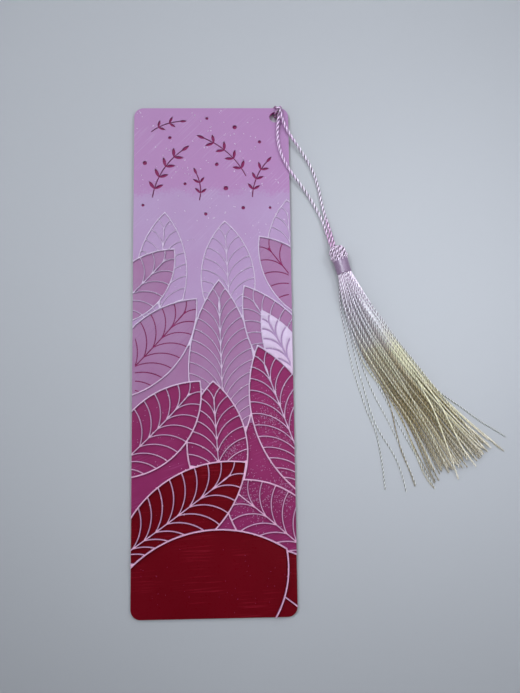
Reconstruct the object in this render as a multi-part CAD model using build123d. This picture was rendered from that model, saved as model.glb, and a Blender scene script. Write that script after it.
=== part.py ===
from build123d import *
import math
import os

# Bookmark: a thin stacked-colour plastic card with a hole near one corner, a
# twisted cord hitched through the hole, and a thread tassel on the cord.
# Millimetres. The card lies flat, back face on z = 0, +Y towards the hole end,
# origin at the middle of the back face.

# ---- driving dimensions -------------------------------------------------
CARD_W = 50.0            # card width, X
CARD_L = 160.0           # card length, Y
CORNER_R = 3.0           # card corner radius
T_BASE = 0.8             # dark-red base thickness
T_STEP = 0.2             # thickness of each colour layer above it
T_LINE = 0.3             # height of the raised pale lines
LINE_W = 0.50            # width of the leaves' outlines
RIB_W = 0.38             # width of a leaf's midrib
VEIN_W = 0.34            # width of its side veins
HOLE_X, HOLE_Y, HOLE_D = 20.6, 76.85, 3.5

CORD_D = 1.0             # twisted cord diameter
RELIEF_W, RELIEF_H = 2.3, 0.5    # shallow cord relief behind the hole's bridge
BIGHT_X0, BIGHT_X1 = 20.1, 22.0  # the two strands of the bight, side by side
BIGHT_IN = (77.7, 80.06, 0.48, 1.46)    # y0, y1, z0, z1 inside the bight
BIGHT_OUT = (76.75, 80.95, 0.02, 2.0)   # y0, y1, z0, z1 outside it

HITCH = (21.9, 79.1, 3.1)        # centre of the hitch knot
HITCH_R = 1.0
CROWN = (39.9, 31.0, 2.47)       # centre of the tassel's crown
CROWN_R = 2.3
CROWN_CLEAR = 2.45               # the core is hollowed to this radius
HEAD_DIR = (0.28, -0.96)         # direction of the tassel's head
WRAP_D, WRAP_BORE = 4.9, 3.8
WRAP_START, WRAP_END = 2.2, 6.9  # along the head, from the crown's centre
CORE_D = 3.76
THREAD_D = 0.5

# routes of the cord's two legs, from the hitch to the crown
LEFT_ROUTE = [(21.4, 77.7, 2.95), (21.25, 74.2, 2.45), (21.25, 69.8, 2.15),
              (22.0, 65.2, 2.1), (24.0, 60.3, 2.2), (27.1, 56.0, 1.85),
              (30.4, 51.8, 1.3), (33.0, 47.2, 1.2), (35.2, 42.8, 1.35),
              (36.5, 38.5, 1.75), (37.9, 32.9, 2.3)]
RIGHT_ROUTE = [(22.55, 77.75, 2.95), (23.6, 74.1, 2.5), (25.6, 70.2, 2.2),
               (28.2, 66.6, 1.8), (30.8, 62.7, 1.4), (32.9, 58.4, 1.2),
               (34.3, 53.8, 1.2), (35.1, 49.0, 1.25), (36.1, 44.1, 1.45),
               (37.5, 39.2, 1.8), (38.85, 33.3, 2.3)]

# skirt sections: centre x, y, width, height, direction x, y
SKIRT = [(41.83, 24.38, 4.4, 4.4, 0.28, -0.96),
         (44.30, 17.70, 7.5, 4.0, 0.420, -0.908),
         (49.20, 6.20, 11.6, 3.6, 0.520, -0.854),
         (58.50, -7.60, 13.0, 3.2, 0.560, -0.828),
         (68.00, -20.00, 15.4, 2.8, 0.540, -0.842),
         (78.20, -35.40, 19.8, 2.4, 0.457, -0.889)]
SKIRT_Z0 = 0.05

# threads that lie apart from the skirt
STRAY_Z = 0.35
STRAYS = [[(40.5, 12.5), (42.5, 0.5), (45.4, -10.5), (48.8, -20.5), (50.9, -32.0), (52.8, -43.0)],
          [(43.4, 1.5), (46.2, -8.5), (50.2, -18.5), (55.4, -30.5), (59.3, -44.0)],
          [(47.0, -3.0), (50.2, -12.5), (54.6, -22.5), (58.8, -31.5), (62.0, -41.4)],
          [(53.3, -14.0), (57.4, -22.5), (62.2, -32.0), (68.3, -43.0)],
          [(68.8, -8.7), (73.6, -13.5), (79.6, -18.6), (85.0, -22.3), (89.7, -25.8)]]

# leaves of the relief, front to back: base, tip, bulge left, bulge right,
# level (0 dark red, 1 magenta, 2 mauve, 3 lilac, 4 pale), pairs of side veins,
# and whether the veins stand up or are cut in
LEAVES = [((-33, -76), (22, -60), 13, 26, 0, 0, "raised"),
          ((42, -88), (5, -61), 14, 12, 0, 4, "raised"),
          ((-30, -63), (10, -34), 10, 11, 0, 10, "raised"),
          ((36, -68), (3, -40), 10, 11, 1, 9, "raised"),
          ((-33, -38), (-4, -9), 8.5, 10.5, 1, 9, "raised"),
          ((32, -47), (14, 2), 10, 9.5, 1, 12, "raised"),
          ((3, -50), (0, -9), 9.5, 9, 1, 10, "raised"),
          ((31, -19), (15.5, 13), 5.2, 6.2, 4, 9, "cut"),
          ((-34.5, -14.5), (-5, 17), 8.5, 9.5, 2, 9, "cut"),
          ((36, -18), (10, 21), 9.5, 8, 2, 10, "raised"),
          ((4, -36), (2, 23), 10.5, 10, 2, 14, "raised"),
          ((-36, 9), (-12, 33), 7, 8.5, 2, 7, "raised"),
          ((38, 8), (15, 37), 8, 7.5, 2, 7, "cut"),
          ((6, 4), (4, 42), 8.5, 8.4, 3, 9, "raised"),
          ((-17, 4), (-15, 45), 8, 7.9, 3, 9, "raised"),
          ((26, 14), (24, 49), 7.5, 7.4, 3, 8, "raised")]
BACK_BANDS = [(-90, -58, 0), (-58, -22, 1), (-22, 2, 2)]   # y0, y1, level behind the leaves
VEIN_BEND = 0.13         # sagitta of a side vein over its length
MIN_CELL = 0.25          # smallest pocket left open, mm2

# recessed sprigs in the plain end: base, tip, bulge, leaflet pairs, leaflet length
SPRIGS = [((-19, 50), (-9, 66), 2.0, 4, 3.2),
          ((11, 57), (-3, 70), -1.8, 4, 3.0),
          ((13, 50), (18, 62), 1.2, 3, 2.7),
          ((-4, 49), (-5, 58), -0.8, 2, 2.5),
          ((-19.5, 72), (-10, 75.5), 0.8, 2, 2.5)]
SPRIG_W = 0.36
DOTS = [(-21.5, 61.5, 0.7), (-13.5, 70, 0.55), (1.6, 61.0, 0.6), (7.5, 73.5, 0.7),
        (15.5, 68.5, 0.55), (-2, 44.5, 0.55), (10, 46.5, 0.6), (-8.6, 54.5, 0.5),
        (18.6, 46.5, 0.45), (-22, 47.5, 0.5), (4.5, 53, 0.75), (-1.5, 76.5, 0.5)]

os.makedirs("parts", exist_ok=True)


def save(node, shape):
    export_step(shape, "parts/" + node + ".step")


# ---- plane geometry helpers --------------------------------------------
class Arc:
    """Circular arc from a to b whose middle stands s to the left of a-b."""

    def __init__(self, a, b, s):
        self.a, self.b, self.s = a, b, s
        dx, dy = b[0] - a[0], b[1] - a[1]
        c = math.hypot(dx, dy)
        nx, ny = -dy / c, dx / c
        mx, my = (a[0] + b[0]) / 2, (a[1] + b[1]) / 2
        r = (c * c / 4 + s * s) / (2 * s)
        self.c = (mx + nx * (s - r), my + ny * (s - r))
        self.r = abs(r)
        self.m = (mx + nx * s, my + ny * s)
        am = math.atan2(self.m[1] - self.c[1], self.m[0] - self.c[0])
        self.t0 = self.near(math.atan2(a[1] - self.c[1], a[0] - self.c[0]), am)
        self.t1 = self.near(math.atan2(b[1] - self.c[1], b[0] - self.c[0]), am)

    @staticmethod
    def near(t, ref):
        while t - ref > math.pi:
            t -= 2 * math.pi
        while t - ref < -math.pi:
            t += 2 * math.pi
        return t

    def at(self, f, grow=0.0):
        t = self.t0 + (self.t1 - self.t0) * f
        return (self.c[0] + (self.r + grow) * math.cos(t),
                self.c[1] + (self.r + grow) * math.sin(t))

    def tangent(self, f):
        p, q = self.at(f - 0.01), self.at(f + 0.01)
        d = math.dist(p, q)
        return ((q[0] - p[0]) / d, (q[1] - p[1]) / d)


def arc_edge(p, m, q):
    return Edge.make_three_point_arc(p, m, q)


def stroke(arc, w, f0=0.0, f1=1.0):
    """Strip of width w along an arc."""
    h, fm = w / 2, (f0 + f1) / 2
    o = [arc.at(f, h) for f in (f0, fm, f1)]
    i = [arc.at(f, -h) for f in (f0, fm, f1)]
    return Face(Wire([arc_edge(o[0], o[1], o[2]), Edge.make_line(o[2], i[2]),
                      arc_edge(i[2], i[1], i[0]), Edge.make_line(i[0], o[0])]))


def meet(a1, a2, grow, near):
    """Meeting point of two arcs' circles, grown, nearest to a point."""
    r1, r2 = a1.r + grow, a2.r + grow
    dx, dy = a2.c[0] - a1.c[0], a2.c[1] - a1.c[1]
    d = math.hypot(dx, dy)
    k = (r1 * r1 - r2 * r2 + d * d) / (2 * d)
    h = math.sqrt(max(0.0, r1 * r1 - k * k))
    pts = [(a1.c[0] + k * dx / d - g * h * dy / d, a1.c[1] + k * dy / d + g * h * dx / d)
           for g in (1, -1)]
    return min(pts, key=lambda p: math.dist(p, near))


def leaf_face(left, right, grow):
    base, tip = meet(left, right, grow, left.a), meet(left, right, grow, left.b)
    return Face(Wire([arc_edge(base, left.at(0.5, grow), tip),
                      arc_edge(tip, right.at(0.5, grow), base)]))


def flat(x):
    if x is None:
        return []
    if isinstance(x, (list, tuple)):
        out = []
        for s in x:
            out += flat(s)
        return out
    return list(x.faces())


def boxes_meet(f, g):
    a, b = f.bounding_box(), g.bounding_box()
    return not (a.max.X < b.min.X or b.max.X < a.min.X or a.max.Y < b.min.Y or b.max.Y < a.min.Y)


def cut_all(faces, tools):
    out = []
    for f in faces:
        near = [t for t in tools if boxes_meet(f, t)]
        out += flat(f.cut(*near)) if near else [f]
    return out


def common(faces, tool):
    out = []
    for f in faces:
        if boxes_meet(f, tool):
            out += flat(f.intersect(tool))
    return out


# ---- card: colour areas -------------------------------------------------
outline = RectangleRounded(CARD_W, CARD_L, CORNER_R).face()
hole = Pos(HOLE_X, HOLE_Y) * Circle(HOLE_D / 2)
hole = hole.face()
card = flat(outline.cut(hole))[0]
inset = RectangleRounded(CARD_W - 1.6, CARD_L - 1.6, CORNER_R).face()

cells = {0: [], 1: [], 2: [], 3: []}      # open pockets, by the level that shows in them
pits = []                                 # marks cut down to the magenta layer
front = []                                # leaves already laid in front
for base, tip, bl, br, level, veins, style in LEAVES:
    left, right = Arc(base, tip, bl), Arc(base, tip, -br)
    mid_bulge = (bl - br) / 2
    mid = Arc(base, tip, mid_bulge if abs(mid_bulge) > 0.04 else 0.04)
    inner = common([leaf_face(left, right, -LINE_W / 2)], card)
    strips = [stroke(mid, RIB_W, 0.0, 0.88)] if veins else []
    for i in range(veins):
        t = 0.85 * (i + 0.6) / (veins + 0.1)
        te = min(0.95, t + 0.20 * (1 - 0.45 * t))
        for side, sign in ((left, -1), (right, 1)):
            a, e = mid.at(t), side.at(te)
            strips.append(stroke(Arc(a, e, sign * VEIN_BEND * math.dist(a, e)), VEIN_W))
    strips = [s for s in strips if any(f.area > 0.2 for f in common([s], inset))]
    shown = [c for c in cut_all(inner, front) if c.area > MIN_CELL]
    if style == "raised":
        cells[level] += [c for c in cut_all(shown, strips) if c.area > MIN_CELL]
    else:
        lines = common(flat(strips[0].fuse(*strips[1:]).clean()), inset)
        marks = [m for c in shown for m in common(lines, c) if m.area > 0.15]
        if level == 4:
            cells[3] += marks
        else:
            cells[level] += shown
            pits += marks
    front.append(leaf_face(left, right, LINE_W / 2))

behind = cut_all([card], front)           # what no leaf covers
sky = []
for f in behind:
    rest = [f]
    for y0, y1, level in BACK_BANDS:
        band = (Pos(0, (y0 + y1) / 2) * Rectangle(CARD_W + 20, y1 - y0)).face()
        cells[level] += [c for c in common(rest, band) if c.area > MIN_CELL]
        rest = cut_all(rest, [band])
    sky += [c for c in rest if c.area > MIN_CELL]

# ---- recessed sprigs and dots ------------------------------------------
pits += [(Pos(x, y) * Circle(r)).face() for x, y, r in DOTS]
for base, tip, bulge, pairs, ll in SPRIGS:
    stem = Arc(base, tip, bulge)
    bits = [stroke(stem, SPRIG_W, 0.0, 0.97)]
    for i in range(pairs + 1):
        last = i == pairs
        t = 0.95 if last else (i + 0.7) / (pairs + 0.7)
        p, d = stem.at(t), stem.tangent(t)
        th = math.atan2(d[1], d[0])
        for turn in ((0,) if last else (48, -48)):
            al = th + math.radians(turn)
            e = (p[0] + ll * math.cos(al), p[1] + ll * math.sin(al))
            bits.append(leaf_face(Arc(p, e, ll * 0.17), Arc(p, e, -ll * 0.17), 0.0))
    pits += flat(bits[0].fuse(*bits[1:]).clean())

# ---- card: the stacked layers ------------------------------------------
def layer(face_list, z, h):
    solids = [Pos(0, 0, z) * extrude(f, amount=h, dir=(0, 0, 1)) for f in face_list]
    solids = [s for x in solids for s in x.solids()]
    return solids[0] if len(solids) == 1 else Compound(children=solids)


relief = Pos((BIGHT_X0 + BIGHT_X1) / 2, (HOLE_Y + CARD_L / 2 + 1) / 2, RELIEF_H / 2) * \
    Box(RELIEF_W, CARD_L / 2 + 1 - HOLE_Y, RELIEF_H)
base_layer = layer([card], 0, T_BASE) - relief
z1 = T_BASE
z2, z3, z4 = z1 + T_STEP, z1 + 2 * T_STEP, z1 + 3 * T_STEP

magenta_faces = cut_all([card], cells[0])
mauve_faces = cut_all([card], cells[0] + cells[1] + pits)
lilac_faces = cut_all([card], cells[0] + cells[1] + cells[2] + pits)
line_faces = cut_all([card], cells[0] + cells[1] + cells[2] + cells[3] + sky)
line_faces = [f for f in line_faces if f.area > 0.05]

magenta_layer = layer(magenta_faces, z1, T_STEP)
mauve_layer = layer(mauve_faces, z2, T_STEP)
lilac_layer = layer(lilac_faces, z3, T_STEP)
white_line_layer = layer(line_faces, z4, T_LINE)
print("pockets", {k: len(v) for k, v in cells.items()}, "pits", len(pits),
      "line areas", [round(f.area, 2) for f in line_faces],
      "lilac areas", [round(f.area, 2) for f in lilac_faces])

save("base_layer", base_layer)
save("magenta_layer", magenta_layer)
save("mauve_layer", mauve_layer)
save("lilac_layer", lilac_layer)
save("white_line_layer", white_line_layer)

# ---- cord ---------------------------------------------------------------
def slab(box, x0, x1, r):
    y0, y1, za, zb = box
    s = Pos((x0 + x1) / 2, (y0 + y1) / 2, (za + zb) / 2) * Box(x1 - x0, y1 - y0, zb - za)
    return fillet(s.edges().filter_by(Axis.X), r) if r else s


cord_bight = slab(BIGHT_OUT, BIGHT_X0, BIGHT_X1, 0.45) - \
    slab(BIGHT_IN, BIGHT_X0 - 1, BIGHT_X1 + 1, 0)
save("cord_bight", cord_bight)

hitch_knot = Pos(*HITCH) * Sphere(HITCH_R)
save("hitch_knot", hitch_knot)


def tube(name, pts, d):
    """Round tube along straight runs joined by tangent arcs."""
    v = [Vector(*p) for p in pts]
    runs = [(v[i + 1] - v[i]).length for i in range(len(v) - 1)]
    radii = []
    for i in range(1, len(v) - 1):
        turn = (v[i] - v[i - 1]).get_angle(v[i + 1] - v[i])
        radii.append(0.45 * min(runs[i - 1], runs[i]) / math.tan(math.radians(turn / 2)))
    path = FilletPolyline(*pts, radius=radii)
    section = Plane(origin=path @ 0, z_dir=path % 0) * Circle(d / 2)
    body = sweep(section, path=path)
    ideal = math.pi * d * d / 4 * path.length
    print(name, "runs", [round(r, 1) for r in runs], "radii", [round(r, 1) for r in radii],
          "length %.2f" % path.length, "volume ratio %.4f" % (body.volume / ideal))
    return body


save("cord_left_leg", tube("cord_left_leg", LEFT_ROUTE, CORD_D))
save("cord_right_leg", tube("cord_right_leg", RIGHT_ROUTE, CORD_D))

# ---- tassel -------------------------------------------------------------
def on_head(s):
    return (CROWN[0] + HEAD_DIR[0] * s, CROWN[1] + HEAD_DIR[1] * s, CROWN[2])


head_z = (HEAD_DIR[0], HEAD_DIR[1], 0)
thread_crown = Pos(*CROWN) * Sphere(CROWN_R)
save("thread_crown", thread_crown)

wrap_plane = Plane(origin=on_head(WRAP_START), z_dir=head_z)
wrap_l = WRAP_END - WRAP_START
head_wrap = extrude(wrap_plane * Circle(WRAP_D / 2), amount=wrap_l)
head_wrap = fillet(head_wrap.edges(), 0.35)
head_wrap = head_wrap - extrude(wrap_plane * Circle(WRAP_BORE / 2), amount=wrap_l)
save("head_wrap", head_wrap)

tassel_core = extrude(wrap_plane * Circle(CORE_D / 2), amount=wrap_l - 0.02)
tassel_core = tassel_core - Pos(*CROWN) * Sphere(CROWN_CLEAR)
save("tassel_core", tassel_core)


def skirt_section(cx, cy, w, h, dx, dy, n=14):
    """Closed polygon across the skirt, flattened where it lies on the table."""
    px, py = dy, -dx
    zc = SKIRT_Z0 + h / 2
    pts = []
    for k in range(n):
        t = 2 * math.pi * k / n
        u, z = w / 2 * math.cos(t), h / 2 * math.sin(t)
        pts.append((cx + px * u, cy + py * u, zc + z))
    return Wire.make_polygon([Vector(*p) for p in pts], close=True)


sections = []
for k, s in enumerate(SKIRT):
    if k == 0:
        p = on_head(WRAP_END + 0.02)
        s = (p[0], p[1]) + s[2:]
    sections.append(skirt_section(*s))
tassel_skirt = Solid.make_loft(sections, True)
save("tassel_skirt", tassel_skirt)

strays = [tube("stray_%d" % k, [(x, y, STRAY_Z) for x, y in pts], THREAD_D)
          for k, pts in enumerate(STRAYS)]
stray_threads = Compound(children=[s for t in strays for s in t.solids()])
save("stray_threads", stray_threads)
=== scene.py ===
import bpy
import bmesh
import math
import random
import numpy as np
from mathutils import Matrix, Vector
from mathutils.bvhtree import BVHTree


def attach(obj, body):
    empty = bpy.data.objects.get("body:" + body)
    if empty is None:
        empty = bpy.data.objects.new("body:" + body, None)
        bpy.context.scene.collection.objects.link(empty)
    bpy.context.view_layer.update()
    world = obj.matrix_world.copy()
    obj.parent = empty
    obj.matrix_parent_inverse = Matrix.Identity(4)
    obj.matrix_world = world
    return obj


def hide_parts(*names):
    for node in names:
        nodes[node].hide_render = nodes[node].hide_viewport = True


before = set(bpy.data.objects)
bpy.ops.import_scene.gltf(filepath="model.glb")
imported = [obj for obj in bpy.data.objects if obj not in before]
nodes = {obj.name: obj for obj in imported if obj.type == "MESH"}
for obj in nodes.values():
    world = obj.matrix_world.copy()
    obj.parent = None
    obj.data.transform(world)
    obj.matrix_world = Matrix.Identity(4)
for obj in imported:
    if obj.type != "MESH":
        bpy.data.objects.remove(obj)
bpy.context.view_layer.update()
rng = random.Random(20)
MM = 0.001
scene = bpy.context.scene
scene.view_settings.view_transform = "Standard"


# ---- small helpers ---------------------------------------------------------
def link(ob):
    scene.collection.objects.link(ob)
    return ob


def mesh_object(name, verts, faces, mat, attrs=None, uvs=None, smooth=True):
    me = bpy.data.meshes.new(name)
    me.from_pydata([tuple(v) for v in verts], [], [tuple(f) for f in faces])
    me.update()
    if smooth:
        me.polygons.foreach_set("use_smooth", [True] * len(me.polygons))
    for key, values in (attrs or {}).items():
        at = me.attributes.new(key, "FLOAT", "POINT")
        at.data.foreach_set("value", np.asarray(values, np.float32))
    if uvs is not None:
        layer = me.uv_layers.new(name="UVMap")
        loops = np.zeros(len(me.loops), np.int32)
        me.loops.foreach_get("vertex_index", loops)
        layer.data.foreach_set("uv", np.asarray(uvs, np.float32)[loops].ravel())
    me.materials.append(mat)
    return link(bpy.data.objects.new(name, me))


def smooth_step(x):
    x = np.clip(x, 0.0, 1.0)
    return x * x * (3 - 2 * x)


def resample(pts, step):
    pts = np.asarray(pts, float)
    seg = np.linalg.norm(np.diff(pts, axis=0), axis=1)
    s = np.concatenate([[0], np.cumsum(seg)])
    n = max(2, int(round(s[-1] / step)) + 1)
    t = np.linspace(0, s[-1], n)
    return np.stack([np.interp(t, s, pts[:, k]) for k in range(3)], 1)


def nurbs_line(points_mm, resolution=40):
    """Points along a NURBS spline with these control points, in metres."""
    cu = bpy.data.curves.new("line", "CURVE")
    cu.dimensions = "3D"
    cu.resolution_u = resolution
    sp = cu.splines.new("NURBS")
    sp.points.add(len(points_mm) - 1)
    for p, q in zip(sp.points, points_mm):
        p.co = (q[0] * MM, q[1] * MM, q[2] * MM, 1.0)
    sp.order_u = 3
    sp.use_endpoint_u = True
    ob = link(bpy.data.objects.new("line", cu))
    bpy.context.view_layer.update()
    me = bpy.data.meshes.new_from_object(ob)
    pts = np.array([v.co for v in me.vertices], float)
    bpy.data.objects.remove(ob)
    bpy.data.curves.remove(cu)
    bpy.data.meshes.remove(me)
    return pts


def transport(pts):
    """Tangent, normal and binormal along a line, with no needless turning."""
    t = np.gradient(pts, axis=0)
    t /= np.linalg.norm(t, axis=1)[:, None]
    n = np.zeros_like(t)
    up = np.array([0.0, 0.0, 1.0])
    if abs(t[0] @ up) > 0.9:
        up = np.array([1.0, 0.0, 0.0])
    v = up - t[0] * (up @ t[0])
    n[0] = v / np.linalg.norm(v)
    for i in range(1, len(pts)):
        v = n[i - 1] - t[i] * (n[i - 1] @ t[i])
        n[i] = v / np.linalg.norm(v)
    return t, n, np.cross(t, n)


class Pool:
    """Collects many tubes into one mesh."""

    def __init__(self):
        self.v, self.f, self.uv = [], [], []
        # The tone attribute is a per-thread lightness, partly random and partly painted light and shade.
        self.at = {"along": [], "crest": [], "tone_and_shade": []}
        self.n = 0

    def tube(self, pts, radius, sides, pitch=None, waist=0.8, phase=0.0, tone_and_shade=0.5,
             along=(0.0, 1.0), squash=None, cap=True):
        """Tube along pts (metres). With a pitch, two plies twisted round each other."""
        pts = np.asarray(pts, float)
        m = len(pts)
        radius = np.broadcast_to(np.asarray(radius, float), (m,))
        t, n, b = transport(pts)
        s = np.concatenate([[0], np.cumsum(np.linalg.norm(np.diff(pts, axis=0), axis=1))])
        th = np.linspace(0, 2 * np.pi, sides, endpoint=False)
        if pitch:
            shape = (waist * np.abs(np.cos(th)) + np.sqrt(1 - (waist * np.sin(th)) ** 2)) / (1 + waist)
            turn = phase + 2 * np.pi * s / pitch
        else:
            shape = np.ones(sides)
            turn = np.full(m, phase)
        ang = th[None, :] + turn[:, None]
        off_n = np.cos(ang) * shape[None, :] * radius[:, None]
        off_b = np.sin(ang) * shape[None, :] * radius[:, None]
        ring = pts[:, None, :] + off_n[..., None] * n[:, None, :] + off_b[..., None] * b[:, None, :]
        if squash is not None:
            ring[..., 2] = pts[:, None, 2] + (ring[..., 2] - pts[:, None, 2]) * squash[:, None]
        base = self.n
        self.v.append(ring.reshape(-1, 3))
        low = shape.min()
        crest = (shape - low) / (1 - low) if pitch else np.full(sides, 0.7)
        self.at["crest"].append(np.tile(crest, m))
        self.at["along"].append(np.repeat(np.linspace(along[0], along[1], m), sides))
        self.at["tone_and_shade"].append(np.full(m * sides, tone_and_shade))
        uv = np.zeros((m, sides, 2))
        uv[..., 0] = (s / MM)[:, None]
        uv[..., 1] = (np.arange(sides) / sides)[None, :]
        self.uv.append(uv.reshape(-1, 2))
        idx = base + np.arange(m * sides).reshape(m, sides)
        a, c = idx[:-1], idx[1:]
        quads = np.stack([a, np.roll(a, -1, 1), np.roll(c, -1, 1), c], -1).reshape(-1, 4)
        self.f.extend(quads.tolist())
        self.n += m * sides
        if cap:
            self.f.append(idx[0][::-1].tolist())
            self.f.append(idx[-1].tolist())

    def strands(self, pts, ply, off, pitch, sides, count=2, phase=0.0, tone_and_shade=0.5, along=(0.0, 1.0)):
        """Plies of radius ply wound round a line at radius off (both may vary along it)."""
        pts = np.asarray(pts, float)
        m = len(pts)
        ply = np.broadcast_to(np.asarray(ply, float), (m,))
        off = np.broadcast_to(np.asarray(off, float), (m,))
        t, n, b = transport(pts)
        s = np.concatenate([[0], np.cumsum(np.linalg.norm(np.diff(pts, axis=0), axis=1))])
        pitch = np.broadcast_to(np.asarray(pitch, float), (m,))
        wind = np.concatenate([[0], np.cumsum(np.diff(s) * 2 * np.pi / pitch[1:])])
        th = np.linspace(0, 2 * np.pi, sides, endpoint=False)
        for k in range(count):
            ang = phase + wind + 2 * np.pi * k / count
            d = np.cos(ang)[:, None] * n + np.sin(ang)[:, None] * b
            c = pts + d * off[:, None]
            tc = np.gradient(c, axis=0)
            tc /= np.linalg.norm(tc, axis=1)[:, None]
            nc = d - tc * (d * tc).sum(1)[:, None]
            nc /= np.linalg.norm(nc, axis=1)[:, None]
            bc = np.cross(tc, nc)
            ring = c[:, None, :] + ply[:, None, None] * (
                np.cos(th)[None, :, None] * nc[:, None, :] + np.sin(th)[None, :, None] * bc[:, None, :])
            base = self.n
            self.v.append(ring.reshape(-1, 3))
            self.at["crest"].append(np.tile((1 + np.cos(th)) / 2, m))
            self.at["along"].append(np.repeat(np.interp(np.linspace(0, 1, m), np.linspace(0, 1, len(along)), along), sides))
            self.at["tone_and_shade"].append(np.repeat(np.broadcast_to(np.asarray(tone_and_shade, float), (m,)), sides))
            uv = np.zeros((m, sides, 2))
            uv[..., 0] = (s / MM)[:, None]
            uv[..., 1] = (np.arange(sides) / sides)[None, :]
            self.uv.append(uv.reshape(-1, 2))
            idx = base + np.arange(m * sides).reshape(m, sides)
            p, q = idx[:-1], idx[1:]
            self.f.extend(np.stack([p, np.roll(p, -1, 1), np.roll(q, -1, 1), q], -1).reshape(-1, 4).tolist())
            self.n += m * sides
            self.f.append(idx[0][::-1].tolist())
            self.f.append(idx[-1].tolist())

    def build(self, name, mat):
        return mesh_object(name, np.concatenate(self.v), self.f, mat,
                           {k: np.concatenate(v) for k, v in self.at.items()},
                           np.concatenate(self.uv))


# ---- materials --------------------------------------------------------------
class Mat:
    """A Principled material with a few helpers for its nodes."""

    def __init__(self, name, **fixed):
        self.mat = bpy.data.materials.new(name)
        self.mat.use_nodes = True
        self.nt = self.mat.node_tree
        self.nt.nodes.clear()
        self.out = self.nt.nodes.new("ShaderNodeOutputMaterial")
        self.bsdf = self.nt.nodes.new("ShaderNodeBsdfPrincipled")
        self.nt.links.new(self.bsdf.outputs[0], self.out.inputs[0])
        for key, value in fixed.items():
            self.bsdf.inputs[key.replace("_", " ")].default_value = value

    def node(self, kind, **props):
        nd = self.nt.nodes.new(kind)
        for key, value in props.items():
            setattr(nd, key, value)
        return nd

    def link(self, a, b):
        self.nt.links.new(a, b)

    def coords(self):
        return self.node("ShaderNodeTexCoord").outputs["Object"]

    def attr(self, name):
        return self.node("ShaderNodeAttribute", attribute_name=name).outputs["Fac"]

    def noise(self, vec, scale, detail=2.0, rough=0.5):
        nd = self.node("ShaderNodeTexNoise")
        nd.inputs["Scale"].default_value = scale
        nd.inputs["Detail"].default_value = detail
        nd.inputs["Roughness"].default_value = rough
        self.link(vec, nd.inputs["Vector"])
        return nd.outputs["Fac"]

    def remap(self, fac, a, b, c, d):
        nd = self.node("ShaderNodeMapRange")
        for key, value in zip(("From Min", "From Max", "To Min", "To Max"), (a, b, c, d)):
            nd.inputs[key].default_value = value
        self.link(fac, nd.inputs["Value"])
        return nd.outputs["Result"]

    def math(self, op, a, b):
        nd = self.node("ShaderNodeMath", operation=op)
        for k, x in enumerate((a, b)):
            if isinstance(x, (int, float)):
                nd.inputs[k].default_value = x
            else:
                self.link(x, nd.inputs[k])
        return nd.outputs[0]

    def mix(self, fac, a, b, blend="MIX"):
        nd = self.node("ShaderNodeMix", data_type="RGBA", blend_type=blend)
        for sock, x in ((nd.inputs[0], fac), (nd.inputs[6], a), (nd.inputs[7], b)):
            if isinstance(x, (int, float)):
                sock.default_value = x
            elif isinstance(x, tuple):
                sock.default_value = x + (1.0,) if len(x) == 3 else x
            else:
                self.link(x, sock)
        return nd.outputs[2]

    def ramp(self, fac, stops):
        nd = self.node("ShaderNodeValToRGB")
        cr = nd.color_ramp
        cr.interpolation = "EASE"
        while len(cr.elements) < len(stops):
            cr.elements.new(0.5)
        for el, (pos, col) in zip(cr.elements, stops):
            el.position = pos
            el.color = col + (1.0,)
        self.link(fac, nd.inputs["Fac"])
        return nd.outputs["Color"]

    def bump(self, height, strength, distance, normal=None):
        nd = self.node("ShaderNodeBump")
        nd.inputs["Strength"].default_value = strength
        nd.inputs["Distance"].default_value = distance
        self.link(height, nd.inputs["Height"])
        if normal is not None:
            self.link(normal, nd.inputs["Normal"])
        return nd.outputs["Normal"]

    def to(self, out, socket):
        self.link(out, self.bsdf.inputs[socket])


INK = 0.855                                         # depth of the printed colours


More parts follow.
